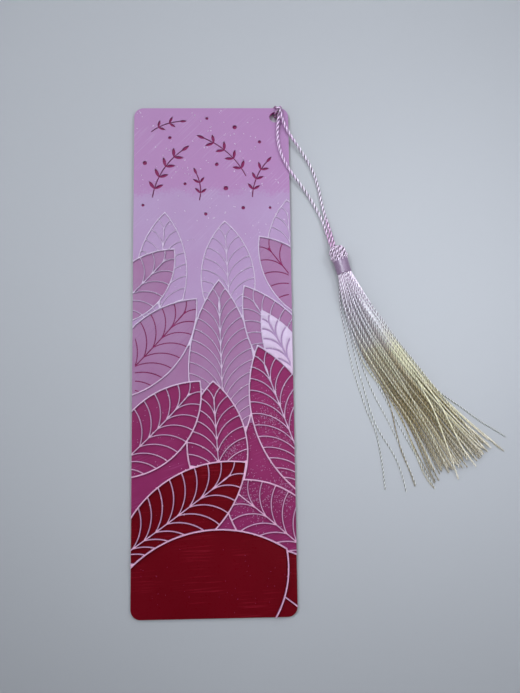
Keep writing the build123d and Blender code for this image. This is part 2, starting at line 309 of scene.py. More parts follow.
def plastic(name, main, alt, rough=0.36, hatch=0.25, top=None, spec=0.25, hole_glow=None, marks=None, foot=None):
    """Printed satin plastic: mottled colour, fine diagonal print lines, and on request a painted glow on the wall of
    the hole.
    """
    main, alt = (tuple(INK * c for c in col) for col in (main, alt))
    top = top and tuple(INK * c for c in top)
    m = Mat(name, Specular_IOR_Level=spec)
    co = m.coords()
    broad = m.remap(m.noise(co, 75.0, 3.0, 0.55), 0.32, 0.68, 0.0, 1.0)
    fine = m.noise(co, 1900.0, 3.0, 0.6)
    col = m.mix(broad, main, alt)
    if top is not None:
        sep = m.node("ShaderNodeSeparateXYZ")
        m.link(co, sep.inputs[0])
        y = sep.outputs["Y"]
        y = m.math("ADD", y, m.remap(m.noise(co, 140.0, 4.0, 0.6), 0.0, 1.0, -0.0045, 0.0045))
        y = m.math("ADD", y, m.remap(m.noise(co, 1500.0, 2.0, 0.5), 0.0, 1.0, -0.003, 0.003))
        band = m.remap(y, 0.0505, 0.0535, 0.0, 1.0)
        col = m.mix(band, col, top)
    if foot is not None:
        sep = m.node("ShaderNodeSeparateXYZ")
        m.link(co, sep.inputs[0])
        col = m.mix(m.remap(sep.outputs["Y"], 0.004, -0.038, 0.0, 1.0), col, foot)
    col = m.mix(m.remap(fine, 0.3, 0.7, 0.0, 0.10), col, tuple(0.72 * c for c in main))
    if marks is not None:
        angle, tint, amount = marks
        turned = m.node("ShaderNodeMapping", vector_type="TEXTURE")
        turned.inputs["Rotation"].default_value = (0, 0, math.radians(angle))
        turned.inputs["Scale"].default_value = (1 / 70.0, 1 / 2300.0, 1.0)
        m.link(co, turned.inputs["Vector"])
        thin = m.remap(m.noise(turned.outputs[0], 1.0, 1.0, 0.4), 0.56, 0.68, 0.0, amount)
        patch = m.remap(m.noise(co, 95.0, 2.0, 0.5), 0.46, 0.62, 0.0, 1.0)
        col = m.mix(m.math("MULTIPLY", thin, patch), col, tint)
    # Painted glow: close round the hole's axis the wall is painted a bright magenta. It stands in for light that comes
    # through the plastic and bounces inside the hole.
    if hole_glow is not None:
        near = m.node("ShaderNodeVectorMath", operation="DISTANCE")
        flat_co = m.node("ShaderNodeVectorMath", operation="MULTIPLY")
        flat_co.inputs[1].default_value = (1, 1, 0)
        m.link(co, flat_co.inputs[0])
        m.link(flat_co.outputs[0], near.inputs[0])
        near.inputs[1].default_value = (20.6 * MM, 76.85 * MM, 0)
        col = m.mix(m.remap(near.outputs["Value"], 1.80 * MM, 1.78 * MM, 0.0, 1.0), col, hole_glow)
    m.to(col, "Base Color")
    m.to(m.remap(fine, 0.25, 0.75, rough - 0.05, rough + 0.07), "Roughness")
    mp = m.node("ShaderNodeMapping")
    mp.inputs["Rotation"].default_value = (0, 0, math.radians(45))
    m.link(co, mp.inputs["Vector"])
    wv = m.node("ShaderNodeTexWave", wave_type="BANDS", bands_direction="X", wave_profile="SIN")
    wv.inputs["Scale"].default_value = 740.0
    wv.inputs["Distortion"].default_value = 0.8
    wv.inputs["Detail"].default_value = 1.0
    wv.inputs["Detail Scale"].default_value = 0.4
    m.link(mp.outputs[0], wv.inputs["Vector"])
    nrm = m.bump(wv.outputs["Fac"], hatch, 0.00003)
    nrm = m.bump(fine, 0.25, 0.00003, nrm)
    strata = m.node("ShaderNodeTexWave", wave_type="BANDS", bands_direction="Z", wave_profile="SIN")
    strata.inputs["Scale"].default_value = 314.0 / 0.2
    m.link(co, strata.inputs["Vector"])
    nrm = m.bump(strata.outputs["Fac"], 0.5, 0.00003, nrm)
    m.to(nrm, "Normal")
    return m.mat


def thread(name, stops, groove_shade, rough=0.26, depth=0.9, tone_shade_span=0.22, spec=1.0, light=None, limits=(0.08, 0.52), spread=None):
    """Satin twisted thread: colour by length, painted shade in the grooves between plies and a painted highlight on
    the crests, fine fibres.

    The groove colour is painted shade: a colour to multiply by, or stops of the shade colour by length. A thread's
    tone attribute, when low, darkens it as painted shade; with a light ramp, a high one blends it to that lit colour
    as a painted highlight."""
    m = Mat(name, Specular_IOR_Level=spec, IOR=1.7)
    along = m.attr("along")
    crest = m.attr("crest")
    tone_and_shade = m.attr("tone_and_shade")
    co = m.coords()
    wander = m.math("ADD", along, m.remap(m.noise(co, 260.0, 2.0), 0.0, 1.0, -0.04, 0.04))
    col = m.ramp(wander, stops)
    # Painted highlight: threads of high tone are blended to the light ramp, the colour of their lit side.
    if light is not None:
        col = m.mix(m.remap(tone_and_shade, 0.28, 0.74, 0.0, 1.0), col, m.ramp(wander, light))
    # Painted shade: the groove colour, lifted part way on threads of the highest tone.
    if isinstance(groove_shade, list):
        low = m.mix(m.remap(tone_and_shade, 0.78, 1.0, 0.0, 0.66), m.ramp(wander, groove_shade), col)
    else:
        low = m.mix(1.0, col, groove_shade, "MULTIPLY")
    # Painted highlight and shade: the crests keep the colour, and the grooves between plies take the groove colour.
    col = m.mix(m.remap(crest, limits[0], limits[1], depth, 0.0), col, low)
    # Painted shade: a thread of low tone is multiplied darker; near the start of its length, by the spread, only in
    # part.
    depth_of = 1.0 if spread is None else m.remap(along, spread[0], spread[1], spread[2], 1.0)
    col = m.mix(depth_of, col, m.remap(tone_and_shade, 0.0, 1.0, 1.0 - tone_shade_span, 1.0), "MULTIPLY")
    m.to(col, "Base Color")
    uv = m.node("ShaderNodeTexCoord").outputs["UV"]
    mp = m.node("ShaderNodeMapping")
    mp.inputs["Rotation"].default_value = (0, 0, math.radians(24))
    mp.inputs["Scale"].default_value = (1.6, 22.0, 1.0)
    m.link(uv, mp.inputs["Vector"])
    fib = m.noise(mp.outputs[0], 1.6, 3.0, 0.6)
    m.to(m.remap(fib, 0.25, 0.75, rough - 0.07, rough + 0.12), "Roughness")
    m.to(m.bump(fib, 0.35, 0.000006), "Normal")
    return m.mat


# The hole wall colours given to the three lower layers are painted glow, not the layers' own colour.
RED = plastic("dark_red_plastic", (0.152, 0.00168, 0.0072), (0.1376, 0.00136, 0.006), 0.30, spec=0.10,
              hole_glow=(0.70, 0.04, 0.42), marks=(3, (0.248, 0.01116, 0.0248), 0.5))
MAGENTA = plastic("magenta_plastic", (0.2418, 0.0186, 0.09608), (0.279, 0.02604, 0.1178), 0.33, spec=0.16,
                  hole_glow=(0.70, 0.05, 0.44), marks=(20, (0.341, 0.0744, 0.2108), 0.4))
MAUVE = plastic("mauve_plastic", (0.3472, 0.1488, 0.2914), (0.3658, 0.1922, 0.3348), 0.36,
                hole_glow=(0.70, 0.08, 0.46), marks=(45, (0.2604, 0.1054, 0.2356), 0.5))
LILAC = plastic("lilac_plastic", (0.4278, 0.2635, 0.4464), (0.4402, 0.2914, 0.4712), 0.36,
                top=(0.4278, 0.217, 0.4154), marks=(45, (0.5084, 0.4092, 0.5456), 0.22))
PALE = plastic("pale_plastic", (0.650, 0.516, 0.660), (0.622, 0.484, 0.632), 0.34, hatch=0.08, foot=(0.710, 0.385, 0.530))

# Cord colour by length: the first few per cent, at the hitch, is painted shade; over the card the grooves are lighter
# and pinker, painted bounce light from the card; towards the head end the cord is darker and pinker.
CORD = thread("cord_thread", [(0.0, (0.16, 0.05, 0.13)), (0.026, (0.20, 0.07, 0.16)), (0.042, (0.84, 0.56, 0.81)),
                              (0.40, (0.84, 0.56, 0.81)), (0.50, (0.86, 0.72, 0.84)), (0.80, (0.86, 0.72, 0.84)),
                              (0.90, (0.80, 0.46, 0.72)), (1.0, (0.66, 0.34, 0.58))],
              [(0.0, (0.03, 0.01, 0.025)), (0.026, (0.03, 0.01, 0.025)), (0.042, (0.22, 0.11, 0.23)),
               (0.40, (0.22, 0.11, 0.23)), (0.50, (0.06, 0.045, 0.065)), (0.80, (0.06, 0.045, 0.065)),
               (0.90, (0.055, 0.016, 0.050)), (1.0, (0.040, 0.011, 0.036))],
              rough=0.24, depth=1.0, limits=(0.36, 0.84))
# Painted shade: a darker copy of the cord's colour, for the loop end that lies in shade in the hole and over the top
# edge.
CORD_IN_SHADE = thread("cord_thread_in_shade", [(0.0, (0.30, 0.10, 0.24)), (1.0, (0.30, 0.10, 0.24))],
              (0.12, 0.05, 0.11), rough=0.26, depth=1.0, limits=(0.22, 0.68))
# Head and band: their dark groove colours are painted shade between plies and between windings.
HEAD = thread("head_thread", [(0.0, (0.88, 0.68, 0.84)), (1.0, (0.88, 0.68, 0.84))],
              (0.060, 0.028, 0.060), rough=0.24, depth=1.0, limits=(0.40, 0.90))
BAND = thread("band_thread", [(0.0, (0.215, 0.122, 0.215)), (1.0, (0.215, 0.122, 0.215))],
              (0.55, 0.45, 0.55), rough=0.30, depth=0.6, tone_shade_span=0.1)
# Skirt colours by length: the bright stops are the crests' colour, the dark stops are painted shade in the grooves and
# deep in the pile, and the white stops are the painted highlight of threads on the lit, right-hand side. Near the neck
# the painted shade by tone is applied only in part.
SKIRT_BRIGHT = [(0.0, (0.98, 0.82, 0.93)), (0.18, (0.97, 0.85, 0.92)), (0.32, (0.80, 0.67, 0.62)),
                (0.45, (0.82, 0.64, 0.32)), (0.70, (0.82, 0.60, 0.22)), (1.0, (0.94, 0.81, 0.54))]
SKIRT_GROOVE_SHADE = [(0.0, (0.28, 0.165, 0.26)), (0.16, (0.22, 0.130, 0.21)), (0.30, (0.13, 0.092, 0.102)),
              (0.43, (0.118, 0.086, 0.038)), (0.70, (0.118, 0.079, 0.028)), (0.84, (0.19, 0.140, 0.065)), (1.0, (0.48, 0.39, 0.24))]
SKIRT_LIT_HIGHLIGHT = [(0.0, (0.98, 0.84, 0.96)), (0.26, (0.98, 0.96, 0.97)), (0.44, (0.97, 0.92, 0.62)),
               (0.78, (0.96, 0.89, 0.60)), (1.0, (0.96, 0.88, 0.70))]
SKIRT = thread("skirt_thread", SKIRT_BRIGHT, SKIRT_GROOVE_SHADE, rough=0.22, depth=1.0, tone_shade_span=0.70, light=SKIRT_LIT_HIGHLIGHT,
               limits=(0.36, 0.82), spread=(0.02, 0.17, 0.40))
# Stray threads: light crests and very dark grooves, painted highlight and painted shade along the plies.
STRAY = thread("stray_thread", [(0.0, (0.96, 0.86, 0.94)), (0.2, (0.92, 0.88, 0.90)), (0.5, (0.95, 0.95, 0.87)),
                                (1.0, (0.95, 0.95, 0.87))],
               [(0.0, (0.16, 0.13, 0.155)), (0.4, (0.115, 0.115, 0.100)), (1.0, (0.115, 0.115, 0.100))], rough=0.20, depth=1.0, tone_shade_span=0.10, limits=(0.46, 0.94))

# ---- card: colour layers ------------------------------------------------------
for name, mat in (("base_layer", RED), ("magenta_layer", MAGENTA), ("mauve_layer", MAUVE),
                  ("lilac_layer", LILAC)):
    me = nodes[name].data
    me.materials.clear()
    me.materials.append(mat)

LAYERS = ("white_line_layer", "lilac_layer", "mauve_layer", "magenta_layer", "base_layer")
trees = {}
for name in LAYERS:
    me = nodes[name].data
    trees[name] = BVHTree.FromPolygons([v.co for v in me.vertices],
                                       [tuple(p.vertices) for p in me.polygons])


def top_at(x, y):
    """Highest card surface at a point (mm): node name and height (m)."""
    for name in LAYERS:
        hit = trees[name].ray_cast(Vector((x * MM, y * MM, 0.01)), Vector((0, 0, -1)))
        if hit[0] is not None:
            return name, hit[0].z
    return None, 0.0


def clear_top(x, y, name, gap):
    for dx, dy in ((0, 0), (gap, 0), (-gap, 0), (0, gap), (0, -gap)):
        if top_at(x + dx, y + dy)[0] != name:
            return False
    return True


# ---- card: raised pale lines, rounded like a printed bead ---------------------
src = nodes["white_line_layer"].data
bm = bmesh.new()
bm.from_mesh(src)
bmesh.ops.remove_doubles(bm, verts=bm.verts, dist=2e-7)
z_top = max(v.co.z for v in bm.verts)
z_low = min(v.co.z for v in bm.verts)
bm.normal_update()
drop = [f for f in bm.faces if not (f.normal.z > 0.9 and f.calc_center_median().z > z_top - 1e-6)]
bmesh.ops.delete(bm, geom=drop, context="FACES")
for v in bm.verts:
    v.co.z = z_low
rim = bmesh.ops.inset_region(bm, faces=list(bm.faces), thickness=0.078 * MM, depth=0.0, use_even_offset=False,
                             use_boundary=True)
bmesh.ops.delete(bm, geom=rim["faces"], context="FACES")
floor_faces = list(bm.faces)
ext = bmesh.ops.extrude_face_region(bm, geom=floor_faces, use_keep_orig=True)
up_faces = [g for g in ext["geom"] if isinstance(g, bmesh.types.BMFace)]
up_verts = [g for g in ext["geom"] if isinstance(g, bmesh.types.BMVert)]
for v in up_verts:
    v.co.z = z_low + 0.14 * MM
bmesh.ops.reverse_faces(bm, faces=floor_faces)
for thick, rise in ((0.016 * MM, 0.085 * MM), (0.022 * MM, 0.05 * MM), (0.024 * MM, 0.025 * MM)):
    bmesh.ops.inset_region(bm, faces=up_faces, thickness=thick, depth=0.0, use_even_offset=False,
                           use_boundary=True)
    for v in {v for f in up_faces for v in f.verts}:
        v.co.z += rise
bm.normal_update()
me = bpy.data.meshes.new("white_lines")
bm.to_mesh(me)
bm.free()
me.polygons.foreach_set("use_smooth", [True] * len(me.polygons))
me.materials.append(PALE)
white_lines = link(bpy.data.objects.new("white_lines", me))
white_lines.modifiers.new("edge", "EDGE_SPLIT").split_angle = math.radians(70)
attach(white_lines, "card")
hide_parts("white_line_layer")


# ---- card: specks of a lighter colour printed proud of the surface -----------
def domes(name, spots, mat):
    verts, faces = [], []
    for x, y, z, r, h in spots:
        k = len(verts)
        n = 9
        turn = rng.random() * 6.28
        long, wide = rng.uniform(1.0, 1.9), rng.uniform(0.7, 1.0)
        for ring_r, ring_h in ((1.0, -0.03), (0.86, 0.55), (0.5, 0.92)):
            for i in range(n):
                a = 2 * math.pi * i / n
                p, q = r * ring_r * math.cos(a) * long, r * ring_r * math.sin(a) * wide
                verts.append(((x + p * math.cos(turn) - q * math.sin(turn)) * MM,
                              (y + p * math.sin(turn) + q * math.cos(turn)) * MM,
                              z + h * ring_h * MM))
        verts.append((x * MM, y * MM, z + h * MM))
        for q in range(2):
            for i in range(n):
                j = (i + 1) % n
                faces.append((k + q * n + i, k + q * n + j, k + (q + 1) * n + j, k + (q + 1) * n + i))
        for i in range(n):
            faces.append((k + 2 * n + i, k + 2 * n + (i + 1) % n, k + 3 * n))
        faces.append(tuple(k + i for i in range(n))[::-1])
    ob = mesh_object(name, verts, faces, mat)
    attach(ob, "card")
    return ob


SPECK = plastic("speck_plastic", (0.4464, 0.248, 0.3844), (0.3968, 0.186, 0.3286), 0.36, hatch=0.05)
spots, tries = [], 0
groups = [(rng.uniform(4, 23), rng.uniform(-56, -12), rng.uniform(2.0, 4.2)) for _ in range(9)]
while len(spots) < 900 and tries < 16000:
    tries += 1
    if rng.random() < 0.72:
        cx, cy, cr = groups[rng.randrange(len(groups))]
        x, y = rng.gauss(cx, cr), rng.gauss(cy, cr)
    else:
        x, y = rng.uniform(-24.6, 24.6), rng.uniform(-62, -6)
        if x < 0 and rng.random() < 0.7:
            continue
    r = rng.uniform(0.06, 0.15)
    if abs(x) < 24.6 and clear_top(x, y, "magenta_layer", r * 1.6 + 0.06):
        spots.append((x, y, top_at(x, y)[1], r, rng.uniform(0.04, 0.09)))
domes("pink_specks", spots, SPECK)

spots, tries = [], 0
while len(spots) < 46 and tries < 3000:
    tries += 1
    x, y = rng.uniform(-24.4, 24.4), rng.uniform(-79, -38)
    r = rng.uniform(0.06, 0.12)
    if clear_top(x, y, "base_layer", r * 1.6 + 0.06):
        spots.append((x, y, top_at(x, y)[1], r, rng.uniform(0.03, 0.06)))
domes("red_specks", spots, MAGENTA)

spots, tries = [], 0
while len(spots) < 120 and tries < 6000:
    tries += 1
    x, y = rng.uniform(-24.3, 24.3), rng.uniform(8, 79.2)
    if rng.random() > 0.35 + 0.65 * smooth_step((y - 20) / 40):
        continue
    r = rng.uniform(0.10, 0.20) if rng.random() < 0.8 else rng.uniform(0.2, 0.27)
    if math.hypot(x - 20.8, y - 76.9) > 3.4 and not (x > 19.5 and y > 56) and clear_top(x, y, "lilac_layer", r + 0.25):
        spots.append((x, y, top_at(x, y)[1], r, rng.uniform(0.06, 0.11)))
domes("white_specks", spots, PALE)

# small blobs where a printed line swells
spots, tries = [], 0
while len(spots) < 190 and tries < 9000:
    tries += 1
    x, y = rng.uniform(-24.2, 24.2), rng.uniform(-79, 45)
    if clear_top(x, y, "white_line_layer", 0.11):
        spots.append((x, y, z_low, rng.uniform(0.19, 0.25), rng.uniform(0.31, 0.36)))
domes("line_blobs", spots, PALE)

# ---- cord -----------------------------------------------------------------------
HITCH = np.array((21.9, 79.1, 3.1))
CROWN = np.array((39.9, 31.0, 2.47))
AXIS = np.array((0.28, -0.96, 0.0))
SIDE = np.array((-AXIS[1], AXIS[0], 0.0))          # to the right of the head, seen from above
UP = np.array((0.0, 0.0, 1.0))
LEFT_ROUTE = [(21.98, 78.9, 3.02), (21.95, 78.0, 2.95), (21.65, 75.6, 2.6), (21.4, 72.6, 2.3), (21.3, 69.8, 2.15),
              (22.0, 65.2, 2.1), (24.0, 60.3, 2.15), (27.1, 56.0, 1.5),
              (30.4, 51.8, 0.75), (33.0, 47.2, 0.62), (35.2, 42.8, 0.80),
              (36.5, 38.5, 1.35), (37.9, 32.9, 2.3), (38.5, 31.9, 2.6)]
RIGHT_ROUTE = [(22.05, 78.9, 3.02), (22.4, 78.0, 2.95), (23.3, 74.5, 2.5), (25.6, 70.2, 2.1),
               (28.2, 66.6, 1.4), (30.8, 62.7, 0.80), (32.9, 58.4, 0.62),
               (34.3, 53.8, 0.62), (35.1, 49.0, 0.65), (36.1, 44.1, 0.95),
               (37.5, 39.2, 1.45), (38.85, 33.3, 2.3), (39.2, 32.2, 2.6)]
CORD_PITCH = 3.2 * MM

for name, route, ph in (("left", LEFT_ROUTE, 0.4), ("right", RIGHT_ROUTE, 2.1)):
    line = resample(nurbs_line(route), 0.12 * MM)
    pool = Pool()
    pool.strands(line, 0.265 * MM, 0.235 * MM, CORD_PITCH, 12, phase=ph, tone_and_shade=0.6,
                 along=(0.0, 1.0) if name == "left" else (0.1, 0.24, 0.44, 0.52, 0.60, 0.68, 0.76, 0.84, 0.92, 1.0))
    ob = pool.build("cord_%s" % name, CORD)
    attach(ob, "cord_loop")
    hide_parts("cord_%s_leg" % name)
    length = float(np.linalg.norm(np.diff(line, axis=0), axis=1).sum())

# bight: the loop end through the hole, behind the bridge and over the top edge, painted in shade with a darker copy of
# the cord colour and a low tone
pool = Pool()
for k, route in enumerate((
        [(20.75, 77.25, 1.5), (20.68, 77.22, 0.75), (20.66, 77.5, 0.30), (20.62, 78.8, 0.29), (20.56, 80.12, 0.30),
         (20.56, 80.5, 0.75), (20.75, 80.42, 1.45), (21.2, 79.95, 1.95), (21.65, 79.4, 2.4)],
        [(21.55, 77.25, 1.5), (21.55, 77.2, 0.75), (21.58, 77.5, 0.30), (21.66, 78.8, 0.29), (22.0, 80.10, 0.30),
         (22.35, 80.46, 0.75), (22.42, 80.36, 1.45), (22.35, 79.9, 1.95), (22.15, 79.4, 2.4)])):
    line = resample(nurbs_line(route), 0.1 * MM)
    tight = 1 - 0.42 * smooth_step((0.66 * MM - line[:, 2]) / (0.3 * MM))
    pool.strands(line, 0.27 * MM * tight, 0.20 * MM * tight, CORD_PITCH, 12, phase=1.0 + k, tone_and_shade=0.35 + 0.25 * k)
for k, route in enumerate((
        [(20.75, 77.25, 1.4), (20.8, 77.6, 2.0), (21.0, 78.2, 2.4), (21.4, 78.8, 2.6)],
        [(21.55, 77.25, 1.4), (22.3, 77.7, 2.0), (22.55, 78.3, 2.4), (22.35, 78.85, 2.6)])):
    line = resample(nurbs_line(route), 0.1 * MM)
    pool.strands(line, 0.25 * MM, 0.2 * MM, CORD_PITCH, 12, phase=0.5 + k, tone_and_shade=0.3)
bight = pool.build("bight_strands", CORD_IN_SHADE)
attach(bight, "card")
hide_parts("cord_bight")

# hitch: the loop end wound over the two legs
pool = Pool()
loop_dir = np.array((0.3494, -0.937, -0.03))
loop_dir /= np.linalg.norm(loop_dir)
la = np.cross(loop_dir, UP)
la /= np.linalg.norm(la)
lb = np.cross(la, loop_dir)
wind = []
for i in range(60):
    f = i / 59
    a = 2 * math.pi * (1.7 * f) + 2.6
    c = HITCH + loop_dir * (0.62 * f - 0.32)
    wind.append(c + la * math.cos(a) * 0.66 + lb * math.sin(a) * 0.55)
# The wraps take a lower tone than the legs: painted shade.
pool.strands(resample(np.array(wind) * MM, 0.08 * MM), 0.22 * MM, 0.18 * MM, CORD_PITCH, 10, tone_and_shade=0.4,
             along=(0.3, 0.3))
wraps = pool.build("hitch_wraps", CORD)
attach(wraps, "cord_loop")
# the fold inside the winding, across the legs, on which they turn
pool = Pool()
core = np.array([HITCH - la * 0.6, HITCH + la * 0.6]) * MM
# The fold inside the winding takes a lower tone still: painted shade.
pool.strands(resample(core, 0.08 * MM), 0.14 * MM, 0.10 * MM, CORD_PITCH, 10, phase=0.7, tone_and_shade=0.3, along=(0.3, 0.3))
hitch = pool.build("hitch_fold", CORD)
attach(hitch, "hitch")
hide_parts("hitch_knot")


# ---- tassel: head -----------------------------------------------------------------
def on_head(s, r, a):
    """Point at distance s along the head, r off its axis, a round it (0 = right, up = pi/2)."""
    return CROWN + AXIS * s + SIDE * (r * math.cos(a)) + UP * (r * math.sin(a))


def smooth_line(points, n):
    p = np.asarray(points, float)
    d = np.concatenate([[0], np.cumsum(np.linalg.norm(np.diff(p, axis=0), axis=1))])
    return spline(p, np.linspace(0, 1, n)) if d[-1] else p


def spline(points, s):
    """Smooth line through points, by normalised length; it runs on straight past the ends."""
    p = np.asarray(points, float)
    d = np.concatenate([[0], np.cumsum(np.linalg.norm(np.diff(p, axis=0), axis=1))])
    d /= d[-1]
    slope = np.gradient(p, d, axis=0)
    out = np.zeros((len(s), p.shape[1]))
    for j, t in enumerate(s):
        if t > 1.0:
            out[j] = p[-1] + slope[-1] * (t - 1.0)
            continue
        i = min(len(p) - 2, int(np.searchsorted(d, t, "right") - 1))
        h = d[i + 1] - d[i]
        u = (t - d[i]) / h
        out[j] = ((2 * u ** 3 - 3 * u ** 2 + 1) * p[i] + (u ** 3 - 2 * u ** 2 + u) * h * slope[i]
                  + (-2 * u ** 3 + 3 * u ** 2) * p[i + 1] + (u ** 3 - u ** 2) * h * slope[i + 1])
    return out


# folded threads over the top of the head, a ball that the band's cup turns on
pool = Pool()
PROFILE = [(-2.0, 0.30), (-1.95, 1.05), (-1.45, 1.85), (-0.55, 2.22), (0.35, 2.22), (1.15, 1.95), (1.75, 1.45), (2.05, 0.6)]
N_FOLD = 13
for k in range(N_FOLD):
    a = 2 * math.pi * (k + rng.uniform(-0.18, 0.18)) / N_FOLD
    lift = rng.uniform(-0.06, 0.06)
    skew = rng.uniform(0.10, 0.35)
    path = []
    for q, (ps, pr) in enumerate(PROFILE):
        p = on_head(ps, pr + (lift if 0 < q < 6 else 0.0), a + skew * (q / 7 - 0.5))
        p[2] = max(p[2], 0.52)
        path.append(p)
    line = resample(smooth_line(path, 60) * MM, 0.11 * MM)
    pool.strands(line, 0.27 * MM, 0.23 * MM, rng.uniform(2.6, 3.0) * MM, 10, phase=rng.random() * 6,
                 tone_and_shade=rng.random())
ball = [on_head(s, 0.0, 0.0) for s in np.linspace(-1.9, 1.9, 25)]
# The ball under the folds has the lowest tone and takes part of the groove colour: painted shade inside the head.
pool.tube(np.array(ball) * MM, MM * np.sqrt(np.clip(2.02 ** 2 - np.linspace(-1.9, 1.9, 25) ** 2, 0.2, None)), 28, tone_and_shade=0.0)
crown = pool.build("crown_threads", HEAD)
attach(crown, "crown")
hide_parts("thread_crown")

# the same threads below, from the cup into the band
pool = Pool()
N_CUP = 20
for k in range(N_CUP):
    a = 2 * math.pi * (k + rng.uniform(-0.2, 0.2)) / N_CUP
    path = []
    for ps, pr in ((0.75 + rng.uniform(-0.25, 0.25), 2.50), (1.2, 2.46), (1.7, 2.32), (2.4, 2.12)):
        p = on_head(ps, pr, a + 0.05 * ps)
        p[2] = max(p[2], 0.38)
        path.append(p)
    line = resample(smooth_line(path, 24) * MM, 0.11 * MM)
    pool.strands(line, 0.195 * MM, 0.155 * MM, rng.uniform(2.1, 2.5) * MM, 9, phase=rng.random() * 6,
                 tone_and_shade=rng.random())
cup = pool.build("cup_threads", HEAD)
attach(cup, "tassel")

# wound band: a turned surface with the shallow grooves of its windings
TURNS, Z0, Z1, ROUND = 19, 1.95, 6.8, 96
verts, faces, crest = [], [], []
rows = TURNS * 10
for i in range(rows + 1):
    f = i / rows
    lip = 1 - 0.16 * max(0.0, abs(2 * f - 1) - 0.93) / 0.07
    for j in range(ROUND):
        th = 2 * math.pi * j / ROUND
        turn = (TURNS * f - th / (2 * math.pi)) % 1.0
        lean = turn / 0.85 if turn < 0.85 else (1 - turn) / 0.15
        r = (2.42 - 0.10 * f + 0.02 * math.sin(23.0 * f)) * lip + 0.040 * (lean - 0.5)
        verts.append(on_head(Z0 + (Z1 - Z0) * f, r, th) * MM)
        # Crest on the raised part of each winding; the rest takes the band's groove colour, painted shade.
        crest.append(1.0 if 0.12 < turn < 0.8 else 0.1)
for i in range(rows):
    for j in range(ROUND):
        k = (j + 1) % ROUND
        faces.append((i * ROUND + j, i * ROUND + k, (i + 1) * ROUND + k, (i + 1) * ROUND + j))
faces.append(tuple(range(ROUND))[::-1])
faces.append(tuple(rows * ROUND + j for j in range(ROUND)))
crest = np.array(crest)
band = mesh_object("band_windings", verts, faces, BAND,
                   {"crest": crest, "along": np.full(len(crest), 0.5), "tone_and_shade": np.full(len(crest), 0.8)},
                   [(v[0] / MM, v[1] / MM) for v in verts])
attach(band, "tassel")
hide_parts("head_wrap")
nodes["tassel_core"].data.materials.clear()
nodes["tassel_core"].data.materials.append(HEAD)

# ---- tassel: skirt --------------------------------------------------------------
LEFT_EDGE = [(39.75, 24.0), (41.0, 14.5), (45.6, 2.6), (53.1, -10.4), (61.7, -23.7), (69.2, -39.4)]
RIGHT_EDGE = [(43.95, 24.9), (48.6, 17.4), (56.3, 5.3), (67.5, -9.8), (77.0, -20.4), (88.0, -30.8)]


def pile(s):
    return np.interp(s, [0, 0.15, 0.35, 0.6, 0.85, 1.0], [4.3, 4.0, 3.3, 2.6, 2.0, 1.7])


def skirt_path(u, v, length, bend, lim=1.0, n=260):
    """One thread: u across the fan, v up the pile, both -1 to 1."""
    s = np.linspace(0, length, n)
    le, ri = spline(LEFT_EDGE, s), spline(RIGHT_EDGE, s)
    drift = u + bend[0] * smooth_step((s - bend[5]) / (1 - bend[5])) + \
        bend[1] * np.sin(2 * np.pi * (bend[2] * s + bend[3])) * s
    drift = np.clip(drift, -lim, lim)
    w = ((drift + 1) / 2)[:, None]
    xy = le * (1 - w) + ri * w
    lean = np.sqrt(np.clip(1 - 0.9 * drift * drift, 0.0, 1))
    disc = 2.47 + 1.85 * v
    level = (v / max(0.25, math.sqrt(max(0.06, 1 - u * u))) + 1) / 2
    level = min(1.0, max(0.0, level))
    lie = 0.3 + level * (pile(s) - 0.6) * lean
    b = smooth_step(s / 0.30)
    z = disc * (1 - b) + lie * b
    z = z + bend[4] * np.sin(2 * np.pi * (1.3 * s + bend[3])) * s
    return np.column_stack([xy, z]), level


threads = []
for v0, shift, layer in ((-0.82, 0.3, 16), (0.0, 0.6, 20), (0.82, 0.4, 25)):
    for k in range(layer):
        u = -0.96 + 1.92 * (k + shift + rng.uniform(-0.24, 0.24)) / layer
        bright = v0 > 0 and (k % 2 == 0 if u > 0.32 else k % 3 == 0 and rng.random() < (0.96 if u < 0.0 else 0.55))
        v = (v0 if v0 < 0.5 else 0.88 if bright else rng.uniform(0.50, 0.74) if u < 0.32 else 0.80) * math.sqrt(max(0.05, 1 - u * u))
        bend = [rng.gauss(0, 0.045), rng.gauss(0, 0.018), rng.uniform(0.6, 1.3), rng.random(), rng.uniform(0, 0.12),
                rng.uniform(0.0, 0.35)]
        if v0 > 0 and rng.random() < 0.18:
            bend[0], bend[5] = rng.uniform(-0.25, 0.20), rng.uniform(0.2, 0.5)
        length = 0.965 + 0.035 * (1 - u * u) + rng.uniform(-0.03, 0.02)
        pts, level = skirt_path(u * 0.97, v * 0.97, length, bend, 1.04)
        # Tone, partly random and partly painted light: threads on the right of the pile, its lit side, and bright ones
        # on top are painted lighter; deeper and left-hand threads are darker as painted shade. Along a thread the tone
        # changes towards its end: down on the right, up on the left.
        right = smooth_step((u - 0.10) / 0.45)
        tone_and_shade = rng.uniform(0.0, 0.24) + (0.78 if v0 > 0 else 0.58) * right
        if bright:
            tone_and_shade = rng.uniform(0.66, 0.80) + 0.20 * right
            if right > 0.4:
                tone_and_shade = (tone_and_shade, tone_and_shade, 0.94, 1.0)
        elif right > 0.4:
            tone_and_shade = (tone_and_shade + 0.15, tone_and_shade + 0.1, 0.54 + rng.uniform(-0.12, 0.16), 0.52)
        else:
            tone_and_shade = (tone_and_shade, tone_and_shade, tone_and_shade, tone_and_shade + 0.36)
        threads.append((u, v, pts, tone_and_shade, 1.0))
